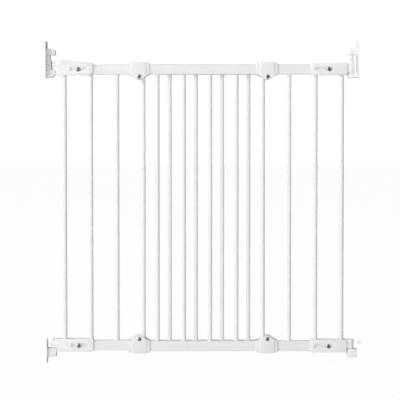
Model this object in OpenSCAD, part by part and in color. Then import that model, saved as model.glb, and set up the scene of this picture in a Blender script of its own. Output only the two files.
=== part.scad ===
// Extending wall-mounted baby gate: two barred frames that telescope side by side,
// hung on two wall brackets and closed by a slide latch. Millimetres, +Z up.
// Origin: floor level, midway between the two wall faces and midway through the depth.
// X runs from the latch wall (-X) to the hinge wall (+X); -Y is the front.

/* [Opening] */
// Clear width between the two wall faces
opening_w = 764; // [764:0.5:766]
// Height of the top rails' centre line
top_rail_z = 722; // [721:0.5:723]
// Height of the bottom rails' centre line
bottom_rail_z = 44.3; // [44:0.1:45]

/* [Frames] */
// Bars in each frame
bar_count = 8; // [8:1:8]
// Centre distance between neighbouring bars
bar_pitch = 64.35; // [64.2:0.05:64.4]
// Outer diameter of a bar
bar_d = 10; // [8:0.5:10]
// Wall thickness of a bar tube
bar_wall = 1; // [0.8:0.1:1.5]
// Height of a rail
rail_h = 25; // [25:0.5:26]
// Depth of a rail
rail_d = 14; // [13:0.5:14]
// Wall thickness of a rail tube
rail_wall = 1.2; // [1:0.1:2]
// Gap between the front and rear rails
rail_gap = 1; // [1:0.1:1.5]
// First bar of the rear frame, from the latch wall
rear_first_bar = 46; // [45.8:0.1:46.4]
// First bar of the front frame, from the latch wall
front_first_bar = 274; // [273.5:0.1:274.2]
// Rail end beyond the outermost bar's centre
rail_overhang = 5.6; // [5.2:0.1:5.6]

/* [Clamps] */
// Clamp length along the rails
clamp_w = 52; // [50:1:54]
// Length of the raised block in the middle of a clamp
block_w = 30; // [28:1:34]
// Clamp screw to the last bar of the frame that carries the clamp
clamp_reach = 45.3; // [45:0.1:46]

/* [End fittings] */
// Length of an end fitting's sleeve
sleeve_len = 88; // [86:0.5:90]
// Wall thickness of a sleeve
sleeve_wall = 4.2; // [4:0.1:4.5]
// Full length of the adjusting slot's recess
slot_len = 47; // [46:0.5:47.5]
// Slot screw to the outermost bar's centre
slot_screw_reach = 33; // [32.5:0.1:33.5]
// Travel of the thumb latch
latch_travel = 5; // [4:0.5:5]

/* [Wall brackets] */
// Thickness of a wall plate
plate_t = 2.5; // [2:0.1:3]
// Width of a top wall plate
top_plate_w = 46; // [44:1:48]
// Width of a bottom wall plate
bottom_plate_w = 30; // [28:1:32]
// Hinge axis from the wall face
hinge_from_wall = 17.4; // [17:0.1:17.6]
// Radius of the top hinge pin
top_pin_r = 6; // [5.5:0.1:6]
// Radius of the bottom hinge pin
bottom_pin_r = 4; // [3.5:0.1:4.5]
// Radius of a wall screw hole
wall_hole_r = 2.5; // [2:0.1:2.75]

/* [Hidden] */
$fn = 48;

// Colours
enamel = "whitesmoke";
plastic = "white";
steel = "silver";

// Clearances: free between parts that slide, fit round a pin or screw
free = 0.3;
fit = 0.05;
eps = 0.5;

// Places that several parts share
wall_x = opening_w / 2;
front_y = -(rail_d + rail_gap) / 2;
rear_y = (rail_d + rail_gap) / 2;
rear_x0 = -wall_x + rear_first_bar;
rear_x1 = rear_x0 + (bar_count - 1) * bar_pitch;
front_x0 = -wall_x + front_first_bar;
front_x1 = front_x0 + (bar_count - 1) * bar_pitch;
left_clamp_x = front_x0 - clamp_reach;
right_clamp_x = rear_x1 + clamp_reach;
rail_tail = 20;
plug_flange = 1.2;
rail_top = top_rail_z + rail_h / 2;
bar_z0 = bottom_rail_z + rail_h / 2;
bar_z1 = top_rail_z - rail_h / 2;

// Screws: M6 button heads and nuts
shank_r = 3;
head_r = 5.4;
head_h = 3.3;
socket_r = 2.3;
socket_depth = 1.9;
nut_r = 5.77;
nut_t = 5;
flat_nut_t = 3;

// End fittings
sleeve_in = rail_d / 2 + free;
sleeve_out = sleeve_in + sleeve_wall;
recess_r = 6;
recess_depth = 1.4;
slot_r = 3.3;
// how far the cheeks reach past the rail's centre line
top_cheek_drop = 14;
bottom_cheek_drop = 16.5;
roof_t = 2.7;
end_wall = 1.4;
latch_x0 = -wall_x + 25.3;
latch_x1 = latch_x0 + sleeve_len + 2;
hinge_x1 = wall_x - 27.8;
hinge_x0 = hinge_x1 - sleeve_len + 2;
latch_screw_x = rear_x0 + slot_screw_reach;
hinge_screw_x = front_x1 - slot_screw_reach;
latch_slot_x = latch_screw_x + 3.2;
hinge_slot_x = hinge_screw_x - 11;
slot_half = slot_len / 2 - recess_r;

// Latch and its nose, the tongue at the sleeve's wall end
roof_low_z = 737.4;
roof_high_z = 741.6;
hood_z = 745;
nose_top_z = 742;
nose_x = -wall_x + 15;
bottom_nose_x = -wall_x + 9.4;
nose_half = 7;
strip_half = 3;
strip_z0 = 737;
strip_z1 = 739.4;
bolt_half = 4;
bolt_z0 = 722;
bolt_back_x = latch_x0 + end_wall - 0.2;
bolt_tip_x = nose_x - 0.9;
slider_x0 = -wall_x + 51;
slider_x1 = -wall_x + 64;
window_x0 = slider_x0 - latch_travel - 0.4;
window_x1 = slider_x1 + 0.4;
slider_half = 6;
slider_pad_z = 741.8;
slider_rib_z = 743.3;
slider_rib_t = 2;
slider_rib_step = 4.5;

// Hinge
hinge_x = wall_x - hinge_from_wall;
knuckle_r = 8.3;
ear_half = 9;
knuckle_z0 = 712.6;
knuckle_z1 = 744;
bottom_knuckle_z0 = 38.2;
bottom_knuckle_z1 = 60.8;
top_pin_z0 = 704;
top_pin_z1 = 771;
bottom_pin_z0 = 19;
bottom_pin_z1 = 57;

// Top brackets
top_plate_z0 = 701;
top_plate_z1 = 791;
upper_ear_z0 = 757;
upper_ear_z1 = 774;
lower_ear_z1 = 712;
flange_hole_z = 716;
flange_hole_y = 16.5;
// three holes on a ring about the upper ear, one of them in the plate's round tip
top_hole_z = 782.5;
hole_ring_r = 2 * flange_hole_y / sqrt(3);
// how far the stop ear and the bottom block stand out from the wall
stop_reach = 24.6;
stop_tip_z1 = 769;
// the keeper's spine and the pocket in it
spine_x = 13.6;
spine_top_x = 10.8;
spine_knee_z = 744;
pocket_x0 = 5;
pocket_z1 = 741;
pocket_gap = 0.7;
// the cup that the nose drops into
cup_x = 23.6;
cup_floor_z = 710.6;
cup_chamfer = 7.5;
cup_gap = 0.6;
cup_cheek_t = 3.9;
cup_cheek_z1 = 720;
// Bottom brackets
bottom_plate_h = 61;
block_z0 = 16.2;
block_z1 = 37.7;
bottom_hole_z = 8;
bottom_hole_gap = 45;

// ---------- shared shapes ----------

// Places its children against a wall: local x = 0 is the wall face, +x leads into the opening
module at_wall(side, y) {
    translate([side * wall_x, y, 0]) {
        if (side > 0) mirror([1, 0, 0]) children();
        else children();
    }
}

module box(x0, x1, y0, y1, z0, z1) {
    translate([x0, y0, z0]) cube([x1 - x0, y1 - y0, z1 - z0]);
}

// Outline in X and Z, made solid from y0 to y1
module side_plate(y0, y1, points) {
    translate([0, y1, 0]) rotate([90, 0, 0]) linear_extrude(y1 - y0) polygon(points);
}

// Obround prism along Y, for slots and their recesses
module slot_cut(x, z, half, r, y0, y1) {
    translate([x, y1, z]) rotate([90, 0, 0]) linear_extrude(y1 - y0) {
        square([2 * half, 2 * r], center = true);
        for (s = [-1, 1]) translate([s * half, 0]) circle(r);
    }
}

module rod_y(x, z, r, y0, y1) {
    translate([x, y1, z]) rotate([90, 0, 0]) cylinder(r = r, h = y1 - y0);
}

// Flips its children about a bottom rail's centre line, so top fittings serve the bottom
module on_bottom_rail() {
    translate([0, 0, bottom_rail_z]) mirror([0, 0, 1]) translate([0, 0, -top_rail_z]) children();
}

// ---------- frames ----------

module rail(x0, x1, y, z, screw_x) {
    difference() {
        box(x0, x1, y - rail_d / 2, y + rail_d / 2, z - rail_h / 2, z + rail_h / 2);
        box(x0 - 1, x1 + 1, y - rail_d / 2 + rail_wall, y + rail_d / 2 - rail_wall,
            z - rail_h / 2 + rail_wall, z + rail_h / 2 - rail_wall);
        rod_y(screw_x, z, shank_r + fit, y - rail_d, y + rail_d);
    }
}

module bars(x0, y) {
    color(enamel)
    for (i = [0 : bar_count - 1]) {
        translate([x0 + i * bar_pitch, y, bar_z0]) difference() {
            cylinder(d = bar_d, h = bar_z1 - bar_z0);
            translate([0, 0, -1]) cylinder(d = bar_d - 2 * bar_wall, h = bar_z1 - bar_z0 + 2);
        }
    }
}

// Push-in plug at a rail's end; dir points out of the tube
module plug(x, y, z, dir) {
    inner_y = rail_d / 2 - rail_wall;
    inner_z = rail_h / 2 - rail_wall;
    depth = 9;
    translate([x, y, z]) mirror([dir < 0 ? 1 : 0, 0, 0]) {
        box(0, plug_flange, -rail_d / 2, rail_d / 2, -rail_h / 2, rail_h / 2);
        box(-depth, 0, -inner_y, inner_y, -inner_z, inner_z);
    }
}

module plugs(x0, x1, y) {
    color(plastic)
    for (z = [bottom_rail_z, top_rail_z]) {
        plug(x0, y, z, -1);
        plug(x1, y, z, 1);
    }
}

front_rail_x0 = left_clamp_x - rail_tail;
front_rail_x1 = front_x1 + rail_overhang;
rear_rail_x0 = rear_x0 - rail_overhang;
rear_rail_x1 = right_clamp_x + rail_tail;

module front_top_rail() {
    color(enamel) rail(front_rail_x0, front_rail_x1, front_y, top_rail_z, hinge_screw_x);
}
module front_bottom_rail() {
    color(enamel) rail(front_rail_x0, front_rail_x1, front_y, bottom_rail_z, hinge_screw_x);
}
module rear_top_rail() {
    color(enamel) rail(rear_rail_x0, rear_rail_x1, rear_y, top_rail_z, latch_screw_x);
}
module rear_bottom_rail() {
    color(enamel) rail(rear_rail_x0, rear_rail_x1, rear_y, bottom_rail_z, latch_screw_x);
}
module front_bars() { bars(front_x0, front_y); }
module rear_bars() { bars(rear_x0, rear_y); }
module front_rail_plugs() { plugs(front_rail_x0, front_rail_x1, front_y); }
module rear_rail_plugs() { plugs(rear_rail_x0, rear_rail_x1, rear_y); }

// ---------- clamps ----------

// Saddle over both rails. Below the rails its front cheek carries the screw, and both
// cheeks stay clear of the bars, which pass between them.
clamp_inner_y = rail_d + rail_gap / 2 + free;
cheek_inner_y = 13.2;
clamp_outer_y = 17.6;
block_outer_y = 19.2;
collar_top = rail_top + 3;
block_top = rail_top + 4.8;
ear_top = bar_z1 - free;
ear_low = top_rail_z - 26;
ear_foot_r = 8.5;
ear_taper = 1.2;
clamp_sill = 2;
clamp_screw_z = top_rail_z - 18.2;

module clamp_ear(x, y0, y1) {
    shoulder = clamp_w / 2 - 3;
    tip = ear_foot_r - 1.5;
    side_plate(y0, y1, [
        [x - shoulder, ear_top], [x - tip, ear_low + ear_taper],
        [x + tip, ear_low + ear_taper], [x + shoulder, ear_top]
    ]);
    rod_y(x, ear_low + ear_foot_r, ear_foot_r, y0, y1);
}

module clamp(x) {
    half = clamp_w / 2;
    block_half = block_w / 2;
    color(plastic) difference() {
        union() {
            box(x - half, x + half, -clamp_outer_y, clamp_outer_y, ear_top - clamp_sill, collar_top);
            box(x - block_half, x + block_half, -block_outer_y, block_outer_y,
                ear_top - clamp_sill, block_top);
            clamp_ear(x, -block_outer_y, -cheek_inner_y);
            clamp_ear(x, cheek_inner_y, block_outer_y);
        }
        // room for the two rails, and for the bars below them
        box(x - half - 1, x + half + 1, -clamp_inner_y, clamp_inner_y, ear_top, rail_top + free);
        box(x - half - 1, x + half + 1, -cheek_inner_y, cheek_inner_y,
            ear_top - clamp_sill - 1, ear_top + 1);
        rod_y(x, clamp_screw_z, shank_r + fit, -block_outer_y - 1, -cheek_inner_y + 1);
        // hexagon pocket for the flat nut
        translate([x, -cheek_inner_y + 1, clamp_screw_z]) rotate([90, 0, 0])
            cylinder(r = nut_r + fit, h = flat_nut_t + fit + 1, $fn = 6);
    }
}

module left_top_clamp() { clamp(left_clamp_x); }
module left_bottom_clamp() { on_bottom_rail() clamp(left_clamp_x); }
module right_top_clamp() { clamp(right_clamp_x); }
module right_bottom_clamp() { on_bottom_rail() clamp(right_clamp_x); }

// ---------- screws and nuts ----------

// Button-head screw along +Y; y is the underside of its head
module button_screw(x, y, z, length) {
    rim = 0.6;
    dome = [for (i = [0 : 6]) [head_r * cos(i * 15), rim + (head_h - rim) * sin(i * 15)]];
    translate([x, y, z]) rotate([90, 0, 0]) difference() {
        union() {
            rotate_extrude() polygon(concat([[0, 0], [head_r, 0]], dome));
            translate([0, 0, -length]) cylinder(r = shank_r, h = length + 0.1);
        }
        translate([0, 0, head_h - socket_depth]) cylinder(r = socket_r, h = 4, $fn = 6);
    }
}

// Hexagon nut along +Y from y, on a shank
module nut(x, y, z, thick) {
    translate([x, y + thick, z]) rotate([90, 0, 0]) difference() {
        cylinder(r = nut_r, h = thick, $fn = 6);
        translate([0, 0, -1]) cylinder(r = shank_r + fit, h = thick + 2);
    }
}

module clamp_screws(x) {
    color(steel)
    for (z = [clamp_screw_z, bottom_rail_z + top_rail_z - clamp_screw_z])
        button_screw(x, -block_outer_y, z, block_outer_y - cheek_inner_y - 0.1);
}

module clamp_nuts(x) {
    color(steel)
    for (z = [clamp_screw_z, bottom_rail_z + top_rail_z - clamp_screw_z])
        nut(x, -cheek_inner_y - flat_nut_t, z, flat_nut_t);
}

// Screw through a sleeve's slot and the rail, with its nut in the slot's rear recess
slot_head_y = -sleeve_out + recess_depth - free;
slot_nut_y = sleeve_out - recess_depth + free;

module slot_screws(x, y) {
    color(steel)
    for (z = [bottom_rail_z, top_rail_z])
        button_screw(x, y + slot_head_y, z, slot_nut_y + nut_t + 0.6 - slot_head_y);
}

module slot_nuts(x, y) {
    color(steel)
    for (z = [bottom_rail_z, top_rail_z]) nut(x, y + slot_nut_y, z, nut_t);
}

module left_clamp_screws() { clamp_screws(left_clamp_x); }
module left_clamp_nuts() { clamp_nuts(left_clamp_x); }
module right_clamp_screws() { clamp_screws(right_clamp_x); }
module right_clamp_nuts() { clamp_nuts(right_clamp_x); }
module hinge_slot_screws() { slot_screws(hinge_screw_x, front_y); }
module hinge_slot_nuts() { slot_nuts(hinge_screw_x, front_y); }
module latch_slot_screws() { slot_screws(latch_screw_x, rear_y); }
module latch_slot_nuts() { slot_nuts(latch_screw_x, rear_y); }

// ---------- end fittings ----------

// Cuts a sleeve's rail channel, open towards the bars, and its adjusting slot
module sleeve_cuts(x0, x1, y, slot_x) {
    box(x0, x1, y - sleeve_in, y + sleeve_in, top_rail_z - 40, rail_top + free);
    slot_cut(slot_x, top_rail_z, slot_half, slot_r, y - sleeve_out - 1, y + sleeve_out + 1);
    slot_cut(slot_x, top_rail_z, slot_half, recess_r,
        y - sleeve_out - 1, y - sleeve_out + recess_depth);
    slot_cut(slot_x, top_rail_z, slot_half, recess_r + 0.2,
        y + sleeve_out - recess_depth, y + sleeve_out + 1);
}

// Sleeve on a hinge-side rail, with the knuckle that turns on the pin. It is drawn on the
// top rail; drop is how far its cheeks reach past the rail's centre line.
module hinge_sleeve(drop, z0, z1, pin_r) {
    low = top_rail_z - drop;
    top = rail_top + roof_t;
    corner = 2;
    color(plastic) difference() {
        union() {
            difference() {
                side_plate(front_y - sleeve_out, front_y + sleeve_out, [
                    [hinge_x0 + corner, low], [hinge_x1, low], [hinge_x1, top],
                    [hinge_x0, top], [hinge_x0, low + corner]
                ]);
                sleeve_cuts(hinge_x0 - 1, hinge_x1 - end_wall, front_y, hinge_slot_x);
            }
            box(hinge_x1 - end_wall, hinge_x, front_y - nose_half, front_y + nose_half,
                z0, min(z1, top));
            translate([hinge_x, front_y, z0]) cylinder(r = knuckle_r, h = z1 - z0);
        }
        translate([hinge_x, front_y, z0 - 1]) cylinder(r = pin_r + fit, h = z1 - z0 + 2);
    }
}

module hinge_top_end() {
    hinge_sleeve(top_cheek_drop, knuckle_z0, knuckle_z1, top_pin_r);
}

module hinge_bottom_end() {
    flip = bottom_rail_z + top_rail_z;
    on_bottom_rail()
        hinge_sleeve(bottom_cheek_drop, flip - bottom_knuckle_z1, flip - bottom_knuckle_z0,
            bottom_pin_r);
}

// Latch-side top sleeve: a roof that rises to a hood, the window for the thumb slider,
// and a hollow nose that guides the bolt
module latch_top_end() {
    low = top_rail_z - top_cheek_drop;
    y = rear_y;
    color(plastic) difference() {
        union() {
            side_plate(y - sleeve_out, y + sleeve_out, [
                [latch_x0, low], [latch_x1 - 8, low], [latch_x1 - 1, low + 7], [latch_x1, low + 9],
                [latch_x1, roof_low_z], [window_x1, roof_high_z], [window_x0, roof_high_z],
                [window_x0 - 0.6, hood_z - 0.2], [window_x0 - 4, hood_z], [latch_x0, nose_top_z]
            ]);
            box(nose_x, latch_x0 + eps, y - nose_half, y + nose_half, lower_ear_z1, nose_top_z);
        }
        sleeve_cuts(latch_x0 + end_wall, latch_x1 + 1, y, latch_slot_x);
        // channel for the strip, the room for the bolt in the nose, and the slider's window
        box(nose_x + 2, window_x1, y - strip_half - free, y + strip_half + free,
            strip_z0 - free, strip_z1 + free);
        box(nose_x - 1, latch_x0 + end_wall + 1, y - bolt_half - free, y + bolt_half + free,
            bolt_z0 - free, strip_z1 + free);
        box(window_x0, window_x1, y - slider_half - free, y + slider_half + free,
            strip_z1, hood_z + 1);
    }
}

// Latch-side bottom sleeve, with the nose that stands over the bracket's block
module latch_bottom_end() {
    y = rear_y;
    flip = bottom_rail_z + top_rail_z;
    low = top_rail_z - bottom_cheek_drop;
    top = rail_top + roof_t;
    corner = 2;
    chamfer = 4;
    nose_low = flip - bottom_knuckle_z1;
    nose_high = flip - (block_z1 + 0.8);
    color(plastic) on_bottom_rail() difference() {
        union() {
            side_plate(y - sleeve_out, y + sleeve_out, [
                [latch_x0 + 1, low], [latch_x1, low], [latch_x1, top - corner], [latch_x1 - corner, top],
                [latch_x0, top], [latch_x0, low + 1]
            ]);
            side_plate(y - nose_half, y + nose_half, [
                [bottom_nose_x + chamfer, nose_low], [latch_x0 + eps, nose_low],
                [latch_x0 + eps, nose_high], [bottom_nose_x, nose_high],
                [bottom_nose_x, nose_low + chamfer]
            ]);
        }
        sleeve_cuts(latch_x0 + end_wall, latch_x1 + 1, y, latch_slot_x);
    }
}

// ---------- latch ----------

// Flat strip in the sleeve's roof, turned down at the nose into the bolt
module latch_bolt() {
    color(steel) {
        box(bolt_back_x - 2, slider_x1, rear_y - strip_half, rear_y + strip_half, strip_z0, strip_z1);
        box(bolt_tip_x, bolt_back_x - 1, rear_y - bolt_half, rear_y + bolt_half, bolt_z0, strip_z1);
    }
}

// Ribbed thumb slider standing on the strip, in the roof's window
module thumb_slider() {
    foot_half = 2;
    color(plastic) {
        box(slider_x0, slider_x1, rear_y - slider_half, rear_y + slider_half,
            strip_z1 + 0.4, slider_pad_z);
        box(slider_x0 + 3, slider_x1 - 3, rear_y - foot_half, rear_y + foot_half,
            strip_z1, strip_z1 + 1);
        for (i = [0 : 2]) {
            x = slider_x0 + 1 + i * slider_rib_step;
            box(x, x + slider_rib_t, rear_y - slider_half, rear_y + slider_half,
                slider_pad_z - 1, slider_rib_z);
        }
    }
}

// ---------- hinge pins ----------

module hinge_pin(z0, z1, r) {
    translate([hinge_x, front_y, z0]) cylinder(r = r, h = z1 - z0);
}

module hinge_top_pin() {
    color(plastic) hinge_pin(top_pin_z0, top_pin_z1, top_pin_r);
}

module hinge_bottom_pin() {
    color(steel) hinge_pin(bottom_pin_z0, bottom_pin_z1, bottom_pin_r);
}

// ---------- wall brackets ----------

// Plates are drawn in the wall's own frame: x from the wall face, y from the bracket's centre
module top_plate() {
    half = top_plate_w / 2;
    foot_r = 4;
    tip_r = 9;
    tip_z = top_plate_z1 - tip_r;
    difference() {
        rotate([90, 0, 90]) linear_extrude(plate_t) {
            for (s = [-1, 1]) translate([s * (half - tip_r), tip_z]) circle(tip_r);
            translate([-half + tip_r, tip_z - 1]) square([top_plate_w - 2 * tip_r, tip_r + 1]);
            translate([-half, top_plate_z0 + foot_r])
                square([top_plate_w, tip_z - top_plate_z0 - foot_r]);
            translate([-half + foot_r, top_plate_z0]) square([top_plate_w - 2 * foot_r, foot_r + 1]);
            for (s = [-1, 1]) translate([s * (half - foot_r), top_plate_z0 + foot_r]) circle(foot_r);
        }
        for (a = [90, 210, 330])
            wall_hole(hole_ring_r * cos(a), top_hole_z - hole_ring_r + hole_ring_r * sin(a));
        for (s = [-1, 1]) wall_hole(s * flange_hole_y, flange_hole_z);
    }
}

module wall_hole(y, z) {
    translate([-1, y, z]) rotate([0, 90, 0]) cylinder(r = wall_hole_r, h = plate_t + 2);
}

module bottom_plate() {
    half = bottom_plate_w / 2;
    difference() {
        rotate([90, 0, 90]) linear_extrude(plate_t) {
            translate([0, half]) circle(half);
            translate([0, bottom_plate_h - half]) circle(half);
            translate([-half, half]) square([bottom_plate_w, bottom_plate_h - bottom_plate_w]);
        }
        for (i = [0, 1]) wall_hole(0, bottom_hole_z + i * bottom_hole_gap);
    }
}

// Ear with a round end about the hinge axis and a blind bore for the pin
module pin_ear(z0, z1, pin_r, bore_z0, bore_z1) {
    difference() {
        union() {
            box(plate_t - 1, hinge_from_wall, -ear_half, ear_half, z0, z1);
            translate([hinge_from_wall, 0, z0]) cylinder(r = ear_half, h = z1 - z0);
        }
        translate([hinge_from_wall, 0, bore_z0]) cylinder(r = pin_r + fit, h = bore_z1 - bore_z0);
    }
}

module hinge_top_bracket() {
    color(plastic) at_wall(1, front_y) {
        top_plate();
        pin_ear(upper_ear_z0, upper_ear_z1, top_pin_r, upper_ear_z0 - 1, top_pin_z1 + free);
        pin_ear(top_plate_z0, lower_ear_z1, top_pin_r, top_pin_z0 - free, lower_ear_z1 + 1);
    }
}

module hinge_bottom_bracket() {
    color(plastic) at_wall(1, front_y) {
        bottom_plate();
        pin_ear(block_z0, block_z1, bottom_pin_r, bottom_pin_z0 - free, block_z1 + 1);
    }
}

// Keeper: a stop ear above, a spine with the bolt's pocket, and a cup whose front cheek
// stops the gate from swinging forwards
module latch_top_bracket() {
    root_x = plate_t - 1;
    cheek_y = -nose_half - cup_gap;
    pocket_half = bolt_half + pocket_gap;
    color(plastic) at_wall(-1, rear_y) {
        top_plate();
        difference() {
            side_plate(-ear_half, ear_half, [
                [root_x, cup_floor_z], [spine_x, cup_floor_z], [spine_x, spine_knee_z],
                [spine_top_x, upper_ear_z0], [root_x, upper_ear_z0]
            ]);
            box(pocket_x0, spine_x + 1, -pocket_half, pocket_half, bolt_z0 - 1, pocket_z1);
        }
        side_plate(-ear_half, ear_half, [
            [root_x, upper_ear_z0 - eps], [stop_reach, upper_ear_z0 - eps],
            [stop_reach, stop_tip_z1], [root_x, upper_ear_z1]
        ]);
        side_plate(cheek_y - cup_cheek_t, nose_half + 2, [
            [root_x, top_plate_z0], [cup_x - cup_chamfer, top_plate_z0],
            [cup_x, top_plate_z0 + cup_chamfer], [cup_x, cup_floor_z], [root_x, cup_floor_z]
        ]);
        side_plate(cheek_y - cup_cheek_t, cheek_y, [
            [root_x, cup_floor_z - 1], [cup_x, cup_floor_z - 1],
            [cup_x, cup_cheek_z1], [root_x, cup_cheek_z1]
        ]);
    }
}

module latch_bottom_bracket() {
    color(plastic) at_wall(-1, rear_y) {
        bottom_plate();
        box(plate_t - 1, stop_reach, -ear_half, ear_half, block_z0, block_z1);
    }
}

hinge_top_bracket();
hinge_bottom_bracket();
hinge_top_pin();
hinge_bottom_pin();
hinge_top_end();
hinge_bottom_end();
front_top_rail();
front_bottom_rail();
front_bars();
front_rail_plugs();
left_top_clamp();
left_bottom_clamp();
left_clamp_screws();
left_clamp_nuts();
hinge_slot_screws();
hinge_slot_nuts();
rear_top_rail();
rear_bottom_rail();
rear_bars();
rear_rail_plugs();
right_top_clamp();
right_bottom_clamp();
right_clamp_screws();
right_clamp_nuts();
latch_slot_screws();
latch_slot_nuts();
latch_top_end();
latch_bottom_end();
latch_bolt();
thumb_slider();
latch_top_bracket();
latch_bottom_bracket();
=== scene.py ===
import math

import bmesh
import bpy
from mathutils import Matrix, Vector


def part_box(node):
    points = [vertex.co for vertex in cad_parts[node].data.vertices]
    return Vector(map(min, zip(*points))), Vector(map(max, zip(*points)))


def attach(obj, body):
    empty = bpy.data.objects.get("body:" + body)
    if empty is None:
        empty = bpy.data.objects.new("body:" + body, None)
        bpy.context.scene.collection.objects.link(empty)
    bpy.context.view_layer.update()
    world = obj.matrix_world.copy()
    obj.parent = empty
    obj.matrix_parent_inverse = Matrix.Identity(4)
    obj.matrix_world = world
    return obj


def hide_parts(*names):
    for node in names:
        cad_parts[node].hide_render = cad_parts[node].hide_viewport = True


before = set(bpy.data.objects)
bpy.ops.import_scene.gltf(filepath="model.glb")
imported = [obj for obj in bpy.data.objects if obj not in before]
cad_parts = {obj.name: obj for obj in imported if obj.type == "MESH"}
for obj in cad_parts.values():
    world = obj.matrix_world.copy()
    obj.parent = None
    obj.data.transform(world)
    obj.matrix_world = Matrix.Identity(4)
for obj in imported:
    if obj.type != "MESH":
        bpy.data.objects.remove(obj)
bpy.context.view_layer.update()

# ---------- camera ----------
# A long lens a little above the gate's middle and about 3.4 m in front of it, so the top
# of the lower rail shows while the top rail is seen nearly square on.
camera_data = bpy.data.cameras.new("camera")
camera = bpy.data.objects.new("camera", camera_data)
bpy.context.scene.collection.objects.link(camera)
camera.location = (-0.0223, -3.4, 0.5442)
camera.rotation_euler = (math.pi / 2 - 0.0302, 0, -0.0053)
camera_data.sensor_width = 36
camera_data.lens = 124.84
camera_data.shift_y = -0.04
camera_data.clip_start = 0.05
bpy.context.scene.camera = camera
bpy.context.scene.view_settings.view_transform = "Standard"

# ---------- studio light and floor ----------
# One big soft lamp to the front left gives the bars their bright left and dark right
# sides. A weak lamp in front, another behind and a pale room fill the rest.
def soft_lamp(name, place, target, size, watts, tint=(1, 1, 1)):
    lamp_data = bpy.data.lights.new(name, "AREA")
    lamp_data.shape = "DISK"
    lamp_data.size = size
    lamp_data.energy = watts
    lamp_data.color = tint
    lamp = bpy.data.objects.new(name, lamp_data)
    bpy.context.scene.collection.objects.link(lamp)
    lamp.location = place
    aim = Vector(target) - Vector(place)
    lamp.rotation_euler = aim.to_track_quat("-Z", "Y").to_euler()
    return lamp


gate_middle = (0, 0, 0.4)
soft_lamp("key", (-5.8, -5.4, 3.7), gate_middle, 5.0, 315, (1.0, 0.99, 0.975))
front_lamp = soft_lamp("front", (-0.3, -7.5, 0.9), gate_middle, 2.5, 145)
front_lamp.visible_glossy = False
soft_lamp("back_left", (-3.5, 4.2, 2.2), gate_middle, 2.2, 60)

world = bpy.data.worlds.new("pale_room")
bpy.context.scene.world = world
world.use_nodes = True
room = world.node_tree
room.nodes.clear()
seen = room.nodes.new("ShaderNodeBackground")
seen.inputs["Color"].default_value = (1, 1, 1, 1)
seen.inputs["Strength"].default_value = 1.05
felt = room.nodes.new("ShaderNodeBackground")
felt.inputs["Strength"].default_value = 1
sky_place = room.nodes.new("ShaderNodeTexCoord")
sky_axes = room.nodes.new("ShaderNodeSeparateXYZ")
side_light = room.nodes.new("ShaderNodeMapRange")
side_light.inputs["From Min"].default_value = -1
side_light.inputs["From Max"].default_value = 1
side_light.inputs["To Min"].default_value = 0.64
side_light.inputs["To Max"].default_value = 0.20
room.links.new(sky_place.outputs["Generated"], sky_axes.inputs["Vector"])
room.links.new(sky_axes.outputs["X"], side_light.inputs["Value"])
# polished metal mirrors a room with more contrast: a bright left half, a dark right half
mirrored = room.nodes.new("ShaderNodeMapRange")
mirrored.inputs["From Min"].default_value = -0.75
mirrored.inputs["From Max"].default_value = 0.25
mirrored.inputs["To Min"].default_value = 1.25
mirrored.inputs["To Max"].default_value = 0.03
room.links.new(sky_axes.outputs["X"], mirrored.inputs["Value"])
which_room = room.nodes.new("ShaderNodeMix")
which_room.data_type = "FLOAT"
room.links.new(side_light.outputs["Result"], which_room.inputs["A"])
room.links.new(mirrored.outputs["Result"], which_room.inputs["B"])
room.links.new(which_room.outputs["Result"], felt.inputs["Color"])
path = room.nodes.new("ShaderNodeLightPath")
either = room.nodes.new("ShaderNodeMixShader")
room_out = room.nodes.new("ShaderNodeOutputWorld")
room.links.new(path.outputs["Is Glossy Ray"], which_room.inputs["Factor"])
room.links.new(path.outputs["Is Camera Ray"], either.inputs["Fac"])
room.links.new(felt.outputs["Background"], either.inputs[1])
room.links.new(seen.outputs["Background"], either.inputs[2])
room.links.new(either.outputs["Shader"], room_out.inputs["Surface"])

bpy.ops.object.select_all(action="DESELECT")
bpy.ops.mesh.primitive_plane_add(size=60, location=(0, 0, -0.002))
floor = bpy.context.active_object
floor.name = "floor"
floor.visible_glossy = False
floor_paint = bpy.data.materials.new("floor_paint")
floor_paint.use_nodes = True
paint = floor_paint.node_tree
paint.nodes["Principled BSDF"].inputs["Base Color"].default_value = (0.86, 0.86, 0.86, 1)
paint.nodes["Principled BSDF"].inputs["Roughness"].default_value = 0.9
glow = paint.nodes.new("ShaderNodeEmission")
glow.inputs["Strength"].default_value = 1.02
shade = paint.nodes.new("ShaderNodeMixShader")
floor_path = paint.nodes.new("ShaderNodeLightPath")
part_glow = paint.nodes.new("ShaderNodeMath")
part_glow.operation = "MULTIPLY"
part_glow.inputs[1].default_value = 0.93
paint.links.new(floor_path.outputs["Is Camera Ray"], part_glow.inputs[0])
paint.links.new(part_glow.outputs[0], shade.inputs["Fac"])
paint.links.new(paint.nodes["Principled BSDF"].outputs[0], shade.inputs[1])
paint.links.new(glow.outputs[0], shade.inputs[2])
paint.links.new(shade.outputs[0], paint.nodes["Material Output"].inputs["Surface"])
floor.data.materials.append(floor_paint)

# ---------- rails ----------
# Four rectangular steel tubes, 25 by 14 mm, with rounded drawn corners, cut square and
# powder coated white. Each is drilled across for the screw of its slotted end fitting.
def new_group(name, ins, outs):
    group = bpy.data.node_groups.new(name, "ShaderNodeTree")
    for label, kind, value in ins:
        socket = group.interface.new_socket(label, in_out="INPUT", socket_type=kind)
        socket.default_value = value
    for label, kind in outs:
        group.interface.new_socket(label, in_out="OUTPUT", socket_type=kind)
    return group, group.nodes.new("NodeGroupInput"), group.nodes.new("NodeGroupOutput")


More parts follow.
